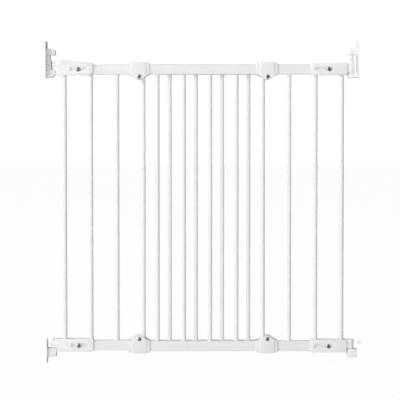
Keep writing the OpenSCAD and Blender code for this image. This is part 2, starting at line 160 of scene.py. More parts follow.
def fine_surface_group():
    """Object-space noise: a faint cloudy tone, a fine texture for bump, and dull patches."""
    group, get, give = new_group("fine_surface", [
        ("Grain Scale", "NodeSocketFloat", 900.0), ("Cloud Scale", "NodeSocketFloat", 14.0)
    ], [("Cloud", "NodeSocketFloat"), ("Grain", "NodeSocketFloat"), ("Patches", "NodeSocketFloat")])
    where = group.nodes.new("ShaderNodeTexCoord")
    for label, socket, detail in (("Cloud", "Cloud Scale", 3), ("Grain", "Grain Scale", 2)):
        noise = group.nodes.new("ShaderNodeTexNoise")
        noise.inputs["Detail"].default_value = detail
        group.links.new(where.outputs["Object"], noise.inputs["Vector"])
        group.links.new(get.outputs[socket], noise.inputs["Scale"])
        group.links.new(noise.outputs["Fac"], give.inputs[label])
    patches = group.nodes.new("ShaderNodeTexNoise")
    patches.inputs["Scale"].default_value = 95
    patches.inputs["Detail"].default_value = 4
    ramp = group.nodes.new("ShaderNodeMapRange")
    ramp.inputs["From Min"].default_value = 0.42
    ramp.inputs["From Max"].default_value = 0.68
    group.links.new(where.outputs["Object"], patches.inputs["Vector"])
    group.links.new(patches.outputs["Fac"], ramp.inputs["Value"])
    group.links.new(ramp.outputs["Result"], give.inputs["Patches"])
    return group


def edge_wear_group():
    """1 along rubbed edges and 0 on flats, broken up by noise."""
    group, get, give = new_group("edge_wear", [
        ("Width", "NodeSocketFloat", 0.0008), ("Amount", "NodeSocketFloat", 0.5)
    ], [("Worn", "NodeSocketFloat")])
    shape = group.nodes.new("ShaderNodeNewGeometry")
    rounded = group.nodes.new("ShaderNodeBevel")
    rounded.samples = 4
    turn = group.nodes.new("ShaderNodeVectorMath")
    turn.operation = "DOT_PRODUCT"
    ramp = group.nodes.new("ShaderNodeMapRange")
    ramp.inputs["From Min"].default_value = 0.995
    ramp.inputs["From Max"].default_value = 0.90
    where = group.nodes.new("ShaderNodeTexCoord")
    noise = group.nodes.new("ShaderNodeTexNoise")
    noise.inputs["Scale"].default_value = 240
    broken = group.nodes.new("ShaderNodeMath")
    broken.operation = "MULTIPLY"
    scaled = group.nodes.new("ShaderNodeMath")
    scaled.operation = "MULTIPLY"
    scaled.use_clamp = True
    group.links.new(get.outputs["Width"], rounded.inputs["Radius"])
    group.links.new(rounded.outputs["Normal"], turn.inputs[0])
    group.links.new(shape.outputs["Normal"], turn.inputs[1])
    group.links.new(turn.outputs["Value"], ramp.inputs["Value"])
    group.links.new(where.outputs["Object"], noise.inputs["Vector"])
    group.links.new(ramp.outputs["Result"], broken.inputs[0])
    group.links.new(noise.outputs["Fac"], broken.inputs[1])
    group.links.new(broken.outputs[0], scaled.inputs[0])
    group.links.new(get.outputs["Amount"], scaled.inputs[1])
    group.links.new(scaled.outputs[0], give.inputs["Worn"])
    return group


fine_surface = fine_surface_group()
edge_wear = edge_wear_group()


def finish_material(name, light, dark, rough, shiny, metal=0.0, coat=0.0, grain=900.0,
                    bump=0.1, bump_depth=0.00002, wear=0.4, worn_tone=None, cloud=14.0):
    """A finish whose tone, gloss and fine relief vary over the surface."""
    material = bpy.data.materials.new(name)
    material.use_nodes = True
    tree = material.node_tree
    skin = tree.nodes["Principled BSDF"]
    skin.inputs["Metallic"].default_value = metal
    skin.inputs["Coat Weight"].default_value = coat
    skin.inputs["Coat Roughness"].default_value = 0.16
    surface = tree.nodes.new("ShaderNodeGroup")
    surface.node_tree = fine_surface
    surface.inputs["Grain Scale"].default_value = grain
    surface.inputs["Cloud Scale"].default_value = cloud
    edges = tree.nodes.new("ShaderNodeGroup")
    edges.node_tree = edge_wear
    edges.inputs["Amount"].default_value = wear
    tone = tree.nodes.new("ShaderNodeMix")
    tone.data_type = "RGBA"
    tone.inputs["A"].default_value = (*light, 1)
    tone.inputs["B"].default_value = (*dark, 1)
    rubbed = tree.nodes.new("ShaderNodeMix")
    rubbed.data_type = "RGBA"
    rubbed.inputs["B"].default_value = (*(worn_tone or dark), 1)
    gloss = tree.nodes.new("ShaderNodeMapRange")
    gloss.inputs["To Min"].default_value = shiny
    gloss.inputs["To Max"].default_value = rough
    relief = tree.nodes.new("ShaderNodeBump")
    relief.inputs["Strength"].default_value = bump
    relief.inputs["Distance"].default_value = bump_depth
    tree.links.new(surface.outputs["Cloud"], tone.inputs["Factor"])
    tree.links.new(tone.outputs["Result"], rubbed.inputs["A"])
    tree.links.new(edges.outputs["Worn"], rubbed.inputs["Factor"])
    tree.links.new(rubbed.outputs["Result"], skin.inputs["Base Color"])
    tree.links.new(surface.outputs["Patches"], gloss.inputs["Value"])
    tree.links.new(gloss.outputs["Result"], skin.inputs["Roughness"])
    tree.links.new(surface.outputs["Grain"], relief.inputs["Height"])
    tree.links.new(relief.outputs["Normal"], skin.inputs["Normal"])
    return material


powder_coat = finish_material("powder_coat", (0.86, 0.86, 0.85), (0.80, 0.80, 0.79), 0.46, 0.34,
                              coat=0.12, grain=650.0, bump=0.2, bump_depth=0.00005, wear=0.25,
                              worn_tone=(0.74, 0.735, 0.72))


def add_box(low, high, name="block"):
    """A block between two corners, with its place in its mesh."""
    bpy.ops.object.select_all(action="DESELECT")
    middle = (Vector(low) + Vector(high)) / 2
    bpy.ops.mesh.primitive_cube_add(size=1, location=middle)
    block = bpy.context.active_object
    block.name = name
    block.scale = Vector(high) - Vector(low)
    bpy.ops.object.transform_apply(location=True, rotation=False, scale=True)
    return block


def add_rod(middle, radius, length, axis, name="rod", sides=48):
    """A round bar about a middle point, along one axis."""
    bpy.ops.object.select_all(action="DESELECT")
    turned = {"X": (0, math.pi / 2, 0), "Y": (math.pi / 2, 0, 0), "Z": (0, 0, 0)}[axis]
    bpy.ops.mesh.primitive_cylinder_add(vertices=sides, radius=radius, depth=length,
                                        location=middle, rotation=turned)
    rod = bpy.context.active_object
    rod.name = name
    bpy.ops.object.transform_apply(location=True, rotation=True, scale=False)
    return rod


sharp_angle = math.radians(25)


def soften(piece, width, steps=2, keep=lambda a, b: True):
    """Bevels the edges, given by their two ends, that keep() picks; only sharp ones count."""
    bpy.ops.object.select_all(action="DESELECT")
    bpy.context.view_layer.objects.active = piece
    piece.select_set(True)
    bpy.ops.object.mode_set(mode="EDIT")
    bpy.ops.mesh.select_mode(type="EDGE")
    bpy.ops.mesh.select_all(action="DESELECT")
    edit = bmesh.from_edit_mesh(piece.data)
    for edge in edit.edges:
        sharp = len(edge.link_faces) == 2 and edge.calc_face_angle(0) > sharp_angle
        if sharp and keep(edge.verts[0].co, edge.verts[1].co):
            edge.select_set(True)
    bmesh.update_edit_mesh(piece.data)
    bpy.ops.mesh.bevel(offset=width, segments=steps, profile=0.5, affect="EDGES", clamp_overlap=True)
    bpy.ops.object.mode_set(mode="OBJECT")
    return piece


def carve(piece, tool, how="DIFFERENCE"):
    """Joins a tool to a piece or cuts it out, and takes the tool away."""
    bpy.ops.object.select_all(action="DESELECT")
    bpy.context.view_layer.objects.active = piece
    piece.select_set(True)
    cut = piece.modifiers.new("cut", "BOOLEAN")
    cut.operation = how
    cut.object = tool
    cut.solver = "EXACT"
    bpy.ops.object.modifier_apply(modifier=cut.name)
    bpy.data.objects.remove(tool, do_unlink=True)
    return piece


def complete(piece, name, body, slot, material, *stands_for, angle=32):
    """Names, shades and paints a finished piece, and puts it on its body."""
    bpy.ops.object.select_all(action="DESELECT")
    bpy.context.view_layer.objects.active = piece
    piece.select_set(True)
    piece.name = name
    piece.data.name = name
    piece.data.materials.clear()
    piece.data.materials.append(material)
    for face in piece.data.polygons:
        face.material_index = 0
    bpy.ops.object.shade_smooth_by_angle(angle=math.radians(angle))
    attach(piece, body)
    if stands_for:
        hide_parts(*stands_for)
    return piece


same_place = 1e-5
close_by = 1e-4


def along_x(a, b):
    return abs(a.y - b.y) < same_place and abs(a.z - b.z) < same_place


def upright(a, b):
    return abs(a.x - b.x) < same_place and abs(a.y - b.y) < same_place


def across_y(a, b):
    return abs(a.x - b.x) < same_place and abs(a.z - b.z) < same_place


rail_wall = 0.0012
rail_corner = 0.0016
cross_hole = 0.00305
drill_length = 0.04
slot_screws = {"front": "hinge_slot_screws", "rear": "latch_slot_screws"}
for row in ("front", "rear"):
    screw_low, screw_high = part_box(slot_screws[row])
    for level in ("top", "bottom"):
        node = f"{row}_{level}_rail"
        low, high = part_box(node)
        rail = soften(add_box(low, high), rail_corner, 4, along_x)
        inset = Vector((-0.002, rail_wall, rail_wall))
        bore = soften(add_box(low + inset, high - inset), rail_corner - 0.0008, 3, along_x)
        carve(rail, bore)
        drill = ((screw_low.x + screw_high.x) / 2, (low.y + high.y) / 2, (low.z + high.z) / 2)
        carve(rail, add_rod(drill, cross_hole, drill_length, "Y", sides=32))
        complete(rail, f"{node}_tube", f"{row}_frame", "white_enamel", powder_coat, node)

# ---------- bars ----------
# Eight round tubes in each frame, stood between the rails and welded all round, so each end
# flares into a small bead under the powder coat.
bar_radius = 0.005
bead_height = 0.0042
bead_reach = 0.0019
bead_curve = 2.2
bars_in_frame = 8
for row in ("front", "rear"):
    low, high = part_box(f"{row}_bars")
    pitch = (high.x - low.x - 2 * bar_radius) / (bars_in_frame - 1)
    first = Vector((low.x + bar_radius, (low.y + high.y) / 2, (low.z + high.z) / 2))
    bar = add_rod(first, bar_radius, high.z - low.z, "Z", sides=40)
    bpy.ops.object.mode_set(mode="EDIT")
    bpy.ops.mesh.select_mode(type="FACE")
    for top in (True, False):
        end_z = high.z if top else low.z
        inward = -1 if top else 1
        bpy.ops.mesh.select_all(action="DESELECT")
        edit = bmesh.from_edit_mesh(bar.data)
        for face in edit.faces:
            if abs(face.calc_center_median().z - end_z) < same_place and len(face.verts) > 8:
                face.select_set(True)
        bmesh.update_edit_mesh(bar.data)
        # the end is drawn back to the top of the bead, then run out again in widening steps
        bpy.ops.transform.translate(value=(0, 0, inward * bead_height))
        middle = (first.x, first.y, end_z)
        for share in (0.25, 0.5, 0.75, 1.0):
            flare = bar_radius + bead_reach * share ** bead_curve
            before = bar_radius + bead_reach * (share - 0.25) ** bead_curve
            bpy.ops.mesh.extrude_region_move(
                TRANSFORM_OT_translate={"value": (0, 0, -inward * bead_height / 4)})
            bpy.ops.transform.resize(value=(flare / before, flare / before, 1),
                                     center_override=middle)
    bpy.ops.object.mode_set(mode="OBJECT")
    stretch = bar.modifiers.new("row", "ARRAY")
    stretch.count = bars_in_frame
    stretch.use_relative_offset = False
    stretch.use_constant_offset = True
    stretch.constant_offset_displace = (pitch, 0, 0)
    bpy.ops.object.modifier_apply(modifier=stretch.name)
    complete(bar, f"{row}_bar_set", f"{row}_frame", "white_enamel", powder_coat, f"{row}_bars",
             angle=50)

# ---------- rail plugs ----------
# Push-in plastic plugs close the tubes' cut ends: a thin flange over the edge, and a hollow
# ribbed body inside the tube.
plug_plastic = finish_material("plug_plastic", (0.86, 0.86, 0.845), (0.80, 0.80, 0.785), 0.5, 0.38,
                               grain=1400.0, bump=0.14, bump_depth=0.00004, wear=0.2)
flange = 0.0012
plug_depth = 0.009
stem_overlap = 0.0004
groove_half = 0.0006
groove_floor = 0.0021
plug_hollow = 0.0032
for row in ("front", "rear"):
    low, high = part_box(f"{row}_rail_plugs")
    plug_set = None
    for level in ("bottom", "top"):
        rail_low, rail_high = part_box(f"{row}_{level}_rail")
        for side in (-1, 1):
            outer = low.x if side < 0 else high.x
            inner = outer - side * flange
            deep = inner - side * plug_depth
            cap = add_box((min(outer, inner), rail_low.y, rail_low.z),
                          (max(outer, inner), rail_high.y, rail_high.z))
            soften(cap, rail_corner * 0.6, 3, along_x)
            soften(cap, 0.0004, 2)
            stem_end = inner + side * stem_overlap
            stem = add_box((min(deep, stem_end), rail_low.y + rail_wall, rail_low.z + rail_wall),
                           (max(deep, stem_end), rail_high.y - rail_wall, rail_high.z - rail_wall))
            soften(stem, 0.0008, 2, along_x)
            for groove in (0.3, 0.62):
                x = inner + (deep - inner) * groove
                ring = add_box((x - groove_half, rail_low.y, rail_low.z),
                               (x + groove_half, rail_high.y, rail_high.z))
                core = add_box((x - 0.002, rail_low.y + groove_floor, rail_low.z + groove_floor),
                               (x + 0.002, rail_high.y - groove_floor, rail_high.z - groove_floor))
                carve(stem, carve(ring, core))
            hollow = add_box((deep - 0.006, rail_low.y + plug_hollow, rail_low.z + plug_hollow),
                             (deep + 0.006, rail_high.y - plug_hollow, rail_high.z - plug_hollow))
            carve(stem, hollow)
            carve(cap, stem, "UNION")
            plug_set = cap if plug_set is None else carve(plug_set, cap, "UNION")
    complete(plug_set, f"{row}_plug_set", f"{row}_frame", "sleeve_plastic", plug_plastic,
             f"{row}_rail_plugs")

# ---------- clamps ----------
# Moulded saddles that hold the two frames together: a collar round both rails, a raised
# block with sloping ends on it, and two ears below, the front one with the screw and nut.
clamp_plastic = finish_material("clamp_plastic", (0.86, 0.86, 0.845), (0.80, 0.80, 0.785), 0.5,
                                0.36, coat=0.05, grain=1100.0, bump=0.12, bump_depth=0.00001,
                                wear=0.15)
clamp_half = 0.026
block_half = 0.0195
collar_y = 0.0176
block_y = 0.0192
channel_y = 0.0148
cheek_y = 0.0132
sill = 0.002
nut_corner = 0.00582
nut_pocket = 0.00305
rail_fit = 0.0003
roof_rise = 0.0027
block_rise = 0.0045
ear_drop = 0.0132
ear_reach = 0.023
screw_drop = 0.0054
past_ends = 0.03


def build_clamp(x, rail_low, rail_high, up):
    """up is 1 on the top rails and -1 on the bottom ones, where the clamp hangs upside down."""
    near = rail_low.z - rail_fit if up > 0 else rail_high.z + rail_fit
    far = rail_high.z + rail_fit if up > 0 else rail_low.z - rail_fit
    roof = far + up * roof_rise
    block_roof = far + up * block_rise
    sill_z = near - up * sill
    collar = add_box((x - clamp_half, -collar_y, min(sill_z, roof)),
                     (x + clamp_half, collar_y, max(sill_z, roof)))
    soften(collar, 0.0022, 4, along_x)
    soften(collar, 0.0009, 3)
    # a raised block over the collar, its corners rounded wide
    block = add_box((x - block_half, -block_y, min(sill_z, block_roof)),
                    (x + block_half, block_y, max(sill_z, block_roof)))
    soften(block, 0.0032, 4, lambda a, b: upright(a, b) or across_y(a, b))
    soften(block, 0.0009, 3)
    carve(collar, block, "UNION")
    # ears: a triangle with a round tip, standing on the sill
    tip_z = near - up * ear_drop
    for side in (-1, 1):
        y0, y1 = sorted((side * cheek_y, side * block_y))
        ear = add_box((x - ear_reach, y0, min(tip_z, near)), (x + ear_reach, y1, max(tip_z, near)))
        bpy.ops.object.mode_set(mode="EDIT")
        for lean in (-1, 1):
            # a sloping cut from the sill's end to the tip
            bpy.ops.mesh.select_all(action="SELECT")
            bpy.ops.mesh.bisect(plane_co=(x + lean * 0.0235, 0, near - up * 0.0005),
                                plane_no=(lean * 0.56, 0, -up * 0.83),
                                use_fill=True, clear_outer=True)
        bpy.ops.object.mode_set(mode="OBJECT")
        soften(ear, 0.0085, 7, lambda a, b: across_y(a, b) and abs(a.z - tip_z) < 0.0045)
        outer_y = block_y - same_place
        soften(ear, 0.0012, 3, lambda a, b: a.y * side > outer_y and b.y * side > outer_y
               and not (abs(a.z - near) < close_by and abs(b.z - near) < close_by))
        carve(collar, ear, "UNION")
    channel = add_box((x - past_ends, -channel_y, min(near, far)),
                      (x + past_ends, channel_y, max(near, far)))
    carve(collar, soften(channel, 0.0012, 3, along_x))
    # the bars pass between the two ears
    gap_z = sorted((near - up * 0.02, near + up * 0.001))
    carve(collar, add_box((x - past_ends, -cheek_y, gap_z[0]), (x + past_ends, cheek_y, gap_z[1])))
    screw_z = near - up * screw_drop
    carve(collar, add_rod((x, -0.0165, screw_z), cross_hole, 0.012, "Y", sides=32))
    carve(collar, add_rod((x, -cheek_y + 0.002 - nut_pocket / 2, screw_z), nut_corner,
                          nut_pocket + 0.004, "Y", sides=6))
    return collar


for side, row in (("left", "front"), ("right", "rear")):
    for level, up in (("top", 1), ("bottom", -1)):
        node = f"{side}_{level}_clamp"
        low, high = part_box(node)
        rail_low, rail_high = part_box(f"front_{level}_rail")
        clamp = build_clamp((low.x + high.x) / 2, rail_low, rail_high, up)
        complete(clamp, f"{node}_moulding", f"{row}_frame", "clamp_plastic", clamp_plastic, node)

# ---------- slotted end fittings, hinge side ----------
# Moulded sleeves pushed over the front frame's rail ends. The slot in each cheek lets the
# gate be set sideways before its screw is tightened; the knuckle at the end turns on the pin.
sleeve_plastic = finish_material("sleeve_plastic", (0.88, 0.88, 0.87), (0.83, 0.83, 0.82), 0.48,
                                 0.34, coat=0.05, grain=1100.0, bump=0.12, bump_depth=0.00001,
                                 wear=0.15)
sleeve_half = 0.0115
channel_half = 0.0073
slide_gap = 0.0003
end_wall = 0.0014
slot_half_length = 0.0235
slot_recess_r = 0.006
slot_r = 0.0033
recess_depth = 0.0014
top_cheek = 0.014
bottom_cheek = 0.0165
pin_gap = 0.00005
past_cheek = 0.02


def cut_sleeve(sleeve, x0, x1, y, level, slot_x):
    """The rail's channel, open towards the bars, then the slot and its two recesses."""
    rail_low, rail_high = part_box(f"front_{level}_rail")
    z0 = rail_low.z - (past_ends if level == "top" else slide_gap)
    z1 = rail_high.z + (slide_gap if level == "top" else past_ends)
    channel = add_box((x0, y - channel_half, z0), (x1, y + channel_half, z1))
    carve(sleeve, soften(channel, 0.0009, 2, along_x))
    middle = (rail_low.z + rail_high.z) / 2
    for r, y0, y1 in ((slot_r, y - past_cheek, y + past_cheek),
                      (slot_recess_r, y - past_cheek, y - sleeve_half + recess_depth),
                      (slot_recess_r + 0.0002, y + sleeve_half - recess_depth, y + past_cheek)):
        reach = slot_half_length - slot_recess_r + r
        slot = add_box((slot_x - reach, y0, middle - r), (slot_x + reach, y1, middle + r))
        carve(sleeve, soften(slot, r * 0.999, 10, across_y))
    return sleeve


hinge_y = sum(corner.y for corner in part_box("hinge_top_pin")) / 2
hinge_axis = sum(corner.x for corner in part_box("hinge_top_pin")) / 2
sleeve_end = hinge_axis - 0.0104
knuckle_r = 0.0083
knuckle_z = {"top": (0.7126, 0.744), "bottom": (0.0382, 0.0608)}
neck_half = 0.007
hinge_slot_x = sum(corner.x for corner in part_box("hinge_slot_screws")) / 2 - 0.011
for level in ("top", "bottom"):
    low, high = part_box(f"hinge_{level}_end")
    rail_low, rail_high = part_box(f"front_{level}_rail")
    middle = (rail_low.z + rail_high.z) / 2
    cheek_z = middle - top_cheek if level == "top" else middle + bottom_cheek
    roof_z = rail_high.z + roof_rise if level == "top" else rail_low.z - roof_rise
    sleeve = add_box((low.x, hinge_y - sleeve_half, min(cheek_z, roof_z)),
                     (sleeve_end, hinge_y + sleeve_half, max(cheek_z, roof_z)))
    soften(sleeve, 0.0022, 3, lambda a, b: across_y(a, b) and abs(a.x - low.x) < close_by
           and abs(a.z - cheek_z) < close_by)
    soften(sleeve, 0.0011, 3)
    knuckle_low, knuckle_high = knuckle_z[level]
    neck_low = knuckle_low + 0.0004
    neck_high = (roof_z if level == "top" else knuckle_high) - 0.0004
    neck = soften(add_box((sleeve_end - 0.002, hinge_y - neck_half, neck_low),
                          (hinge_axis, hinge_y + neck_half, neck_high)), 0.0016, 3)
    carve(sleeve, neck, "UNION")
    knuckle = add_rod((hinge_axis, hinge_y, (knuckle_low + knuckle_high) / 2), knuckle_r,
                      knuckle_high - knuckle_low, "Z")
    carve(sleeve, soften(knuckle, 0.0011, 3), "UNION")
    cut_sleeve(sleeve, low.x - 0.01, sleeve_end - end_wall, hinge_y, level, hinge_slot_x)
    pin_low, pin_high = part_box(f"hinge_{level}_pin")
    pin_r = (pin_high.x - pin_low.x) / 2
    carve(sleeve, add_rod((hinge_axis, hinge_y, middle), pin_r + pin_gap, 0.12, "Z"))
    complete(sleeve, f"hinge_{level}_sleeve", "hinge_ends", "sleeve_plastic", sleeve_plastic,
             f"hinge_{level}_end")

# ---------- slotted end fittings, latch side ----------
# The same sleeves on the rear frame. The upper one's roof rises to a hood with a window for
# the thumb slider, and its nose guides the bolt; the lower one's nose stands on its block.
latch_screw_low, latch_screw_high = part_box("latch_slot_screws")
latch_y = (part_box("rear_top_rail")[0].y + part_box("rear_top_rail")[1].y) / 2
latch_slot_x = (latch_screw_low.x + latch_screw_high.x) / 2 + 0.0032
slider_low, slider_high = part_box("thumb_slider")
bolt_low, bolt_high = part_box("latch_bolt")
window_x0 = slider_low.x - 0.0054
window_x1 = slider_high.x + 0.0004
nose_to_body = 0.0103
roof_low = 0.7374
roof_high = 0.7416
hood_top = 0.745
nose_top = 0.742
strip_low = 0.7367
strip_high = 0.7397
window_low = 0.7394


def add_profile(points, y0, y1, name="profile"):
    """A flat outline in X and Z, drawn counterclockwise from the front, run back to y1."""
    mesh = bpy.data.meshes.new(name)
    mesh.from_pydata([(x, y0, z) for x, z in points], [], [range(len(points))])
    solid = bpy.data.objects.new(name, mesh)
    bpy.context.scene.collection.objects.link(solid)
    bpy.ops.object.select_all(action="DESELECT")
    bpy.context.view_layer.objects.active = solid
    solid.select_set(True)
    bpy.ops.object.mode_set(mode="EDIT")
    bpy.ops.mesh.select_all(action="SELECT")
    bpy.ops.mesh.extrude_region_move(TRANSFORM_OT_translate={"value": (0, y1 - y0, 0)})
    bpy.ops.mesh.select_all(action="SELECT")
    bpy.ops.mesh.normals_make_consistent(inside=False)
    bpy.ops.object.mode_set(mode="OBJECT")
    return solid


def slice_off(piece, point, normal):
    """Cuts away what lies beyond a plane and closes the cut."""
    bpy.ops.object.select_all(action="DESELECT")
    bpy.context.view_layer.objects.active = piece
    piece.select_set(True)
    bpy.ops.object.mode_set(mode="EDIT")
    bpy.ops.mesh.select_all(action="SELECT")
    bpy.ops.mesh.bisect(plane_co=point, plane_no=normal, use_fill=True, clear_outer=True)
    bpy.ops.mesh.select_all(action="SELECT")
    bpy.ops.mesh.normals_make_consistent(inside=False)
    bpy.ops.object.mode_set(mode="OBJECT")
    return piece


low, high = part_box("latch_top_end")
body_x0 = low.x + nose_to_body
sleeve = add_profile([
    (body_x0, low.z), (high.x - 0.0075, low.z), (high.x - 0.0008, low.z + 0.0067),
    (high.x, low.z + 0.009), (high.x, roof_low), (window_x1, roof_high), (window_x0, roof_high),
    (window_x0 - 0.0006, hood_top - 0.0003), (window_x0 - 0.0042, hood_top),
    (body_x0 + 0.004, nose_top + 0.0008), (body_x0, nose_top)
], latch_y - sleeve_half, latch_y + sleeve_half)
# the roof's long edges are bevelled wide, so its ridge is narrower than the body
soften(sleeve, 0.0024, 3, lambda a, b: min(a.z, b.z) > low.z + 0.02 and abs(a.y - b.y) < same_place
       and abs(a.x - b.x) > 0.003)
soften(sleeve, 0.0008, 2)
nose = add_box((low.x, latch_y - neck_half, low.z + 0.004),
               (body_x0 + 0.002, latch_y + neck_half, nose_top))
carve(sleeve, soften(nose, 0.0013, 3), "UNION")
cut_sleeve(sleeve, body_x0 + end_wall, high.x + 0.01, latch_y, "top", latch_slot_x)
strip_half = 0.0033
bolt_half = 0.0043
carve(sleeve, add_box((low.x + 0.002, latch_y - strip_half, strip_low),
                      (window_x1, latch_y + strip_half, strip_high)))
carve(sleeve, add_box((low.x - 0.001, latch_y - bolt_half, bolt_low.z - slide_gap),
                      (body_x0 + end_wall + 0.001, latch_y + bolt_half, strip_high)))
window = add_box((window_x0, slider_low.y - slide_gap, window_low),
                 (window_x1, slider_high.y + slide_gap, 0.76))
carve(sleeve, soften(window, 0.0006, 2, upright))
complete(sleeve, "latch_top_sleeve", "latch_ends", "sleeve_plastic", sleeve_plastic, "latch_top_end")

low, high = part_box("latch_bottom_end")
body_x0 = low.x + 0.0159
sleeve = add_box((body_x0, latch_y - sleeve_half, low.z), (high.x, latch_y + sleeve_half, high.z))
soften(sleeve, 0.0018, 3, lambda a, b: across_y(a, b) and abs(a.z - low.z) < close_by)
soften(sleeve, 0.0011, 3)
nose_low = 0.0385
nose = add_box((low.x, latch_y - neck_half, nose_low),
               (body_x0 + 0.002, latch_y + neck_half, high.z - 0.0002))
slice_off(nose, (low.x + 0.002, 0, high.z - 0.002), (-1, 0, 1))
carve(sleeve, soften(nose, 0.0012, 3), "UNION")
cut_sleeve(sleeve, body_x0 + end_wall, high.x + 0.01, latch_y, "bottom", latch_slot_x)
complete(sleeve, "latch_bottom_sleeve", "latch_ends", "sleeve_plastic", sleeve_plastic,
         "latch_bottom_end")

# ---------- wall brackets ----------
# Four moulded brackets screwed to the walls. Each is a plate with a chamfered rim and
# countersunk holes; ears or a block stand out from it and carry the pin, bolt or nose.
bracket_plastic = finish_material("bracket_plastic", (0.87, 0.87, 0.855), (0.81, 0.81, 0.795), 0.46,
                                  0.34, coat=0.08, grain=1100.0, bump=0.12, bump_depth=0.00001,
                                  wear=0.15)
plate_t = 0.0025
root_share = 0.6
hole_r = 0.0025
ear_half = 0.009
upper_ear = (0.757, 0.774)
lower_ear = (0.701, 0.712)
block_z = (0.0162, 0.0377)
top_half, top_tip_r, top_foot_r = 0.023, 0.009, 0.004
bottom_half, bottom_height, bottom_r = 0.015, 0.061, 0.01497
top_holes = [(0, 0.7825)] + [(y, z) for y in (-0.0165, 0.0165) for z in (0.753922, 0.716)]
bottom_holes = [(0, 0.008), (0, 0.053)]


def along_wall(a, b):
    return abs(a.y - b.y) < same_place and abs(a.z - b.z) < same_place


def build_plate(wall, side, y, half, z0, z1, tip_r, foot_r, holes):
    """side is 1 on the hinge wall and -1 on the latch wall; the plate's back is on the wall."""
    face = wall - side * plate_t
    plate = add_box((min(wall, face), y - half, z0), (max(wall, face), y + half, z1))
    soften(plate, tip_r, 10, lambda a, b: along_wall(a, b) and a.z > z1 - close_by)
    soften(plate, foot_r, 10 if foot_r > 0.01 else 5,
           lambda a, b: along_wall(a, b) and a.z < z0 + close_by)
    soften(plate, 0.001, 2, lambda a, b: abs(a.x - face) < same_place
           and abs(b.x - face) < same_place)
    for hole_y, hole_z in holes:
        place = (wall - side * plate_t / 2, y + hole_y, hole_z)
        carve(plate, add_rod(place, hole_r, 0.02, "X", sides=32))
        # countersink for the screw's head, opening on the room side
        bpy.ops.object.select_all(action="DESELECT")
        bpy.ops.mesh.primitive_cone_add(vertices=32, radius1=0.0045, radius2=0.002, depth=0.0025,
                                        location=(face + side * 0.00085, y + hole_y, hole_z),
                                        rotation=(0, side * math.pi / 2, 0))
        sink = bpy.context.active_object
        bpy.ops.object.transform_apply(location=True, rotation=True, scale=False)
        carve(plate, sink)
    return plate


def build_ear(plate, axis, y, z0, z1, crown, foot):
    """An ear with a round end about the hinge axis; crown and foot round its two rims."""
    wall_side = plate_t * root_share
    ear = add_box((axis - ear_half, y - ear_half, z0), (hinge_wall - wall_side, y + ear_half, z1))
    soften(ear, ear_half * 0.995, 10, lambda a, b: upright(a, b) and a.x < axis)
    soften(ear, crown, 5, lambda a, b: a.z > z1 - same_place and b.z > z1 - same_place
           and min(a.x, b.x) < hinge_wall - 0.003)
    soften(ear, foot, 3, lambda a, b: a.z < z0 + same_place and b.z < z0 + same_place
           and min(a.x, b.x) < hinge_wall - 0.003)
    return carve(plate, ear, "UNION")


plate_low, plate_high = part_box("hinge_top_bracket")
hinge_wall = plate_high.x
bracket = build_plate(hinge_wall, 1, hinge_y, top_half, plate_low.z, plate_high.z, top_tip_r,
                      top_foot_r, top_holes)
build_ear(bracket, hinge_axis, hinge_y, *upper_ear, 0.0045, 0.0009)
build_ear(bracket, hinge_axis, hinge_y, *lower_ear, 0.0008, 0.003)
pin_low, pin_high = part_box("hinge_top_pin")
pin_r = (pin_high.x - pin_low.x) / 2
# blind bores for the pin: up into the upper ear from 1 mm below it, and down into the lower
bore_low, bore_high = 0.756, 0.713
carve(bracket, add_rod((hinge_axis, hinge_y, (bore_low + pin_high.z + slide_gap) / 2),
                       pin_r + pin_gap, pin_high.z + slide_gap - bore_low, "Z"))
carve(bracket, add_rod((hinge_axis, hinge_y, (pin_low.z - slide_gap + bore_high) / 2),
                       pin_r + pin_gap, bore_high - pin_low.z + slide_gap, "Z"))
complete(bracket, "hinge_top_bracket_moulding", "hinge_brackets", "bracket_plastic", bracket_plastic,
         "hinge_top_bracket")

bracket = build_plate(hinge_wall, 1, hinge_y, bottom_half, 0, bottom_height, bottom_r,
                      bottom_r, bottom_holes)
build_ear(bracket, hinge_axis, hinge_y, *block_z, 0.0009, 0.002)
pin_low, pin_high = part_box("hinge_bottom_pin")
pin_r = (pin_high.x - pin_low.x) / 2
bore_high = 0.0387
carve(bracket, add_rod((hinge_axis, hinge_y, (pin_low.z - slide_gap + bore_high) / 2),
                       pin_r + pin_gap, bore_high - pin_low.z + slide_gap, "Z"))
complete(bracket, "hinge_bottom_bracket_moulding", "hinge_brackets", "bracket_plastic",
         bracket_plastic, "hinge_bottom_bracket")

# the latch's upper bracket: stop ear above, spine with the keeper pocket, cup below
plate_low, plate_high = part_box("latch_top_bracket")
latch_wall = plate_low.x
root = latch_wall + plate_t * root_share
bracket = build_plate(latch_wall, -1, latch_y, top_half, plate_low.z, plate_high.z, top_tip_r,
                      top_foot_r, top_holes)
spine_x = latch_wall + 0.0136
stop_x = latch_wall + 0.0246
cup_x = latch_wall + 0.0236
spine_low, spine_knee, spine_high = 0.7096, 0.744, 0.7575
spine = add_profile([
    (root, spine_low), (spine_x, spine_low), (spine_x, spine_knee),
    (spine_x - 0.0028, spine_high), (root, spine_high)
], latch_y - ear_half, latch_y + ear_half)
soften(spine, 0.0012, 3, lambda a, b: max(a.x, b.x) > root + 0.004)
carve(bracket, spine, "UNION")
stop_low, stop_tip = 0.7565, 0.769
stop = add_profile([(root, stop_low), (stop_x, stop_low), (stop_x, stop_tip), (root, upper_ear[1])],
                   latch_y - ear_half - 0.0001, latch_y + ear_half + 0.0001)
soften(stop, 0.0014, 3, lambda a, b: max(a.x, b.x) > root + 0.004)
carve(bracket, stop, "UNION")
cup_low, cup_floor = lower_ear[0], 0.7106
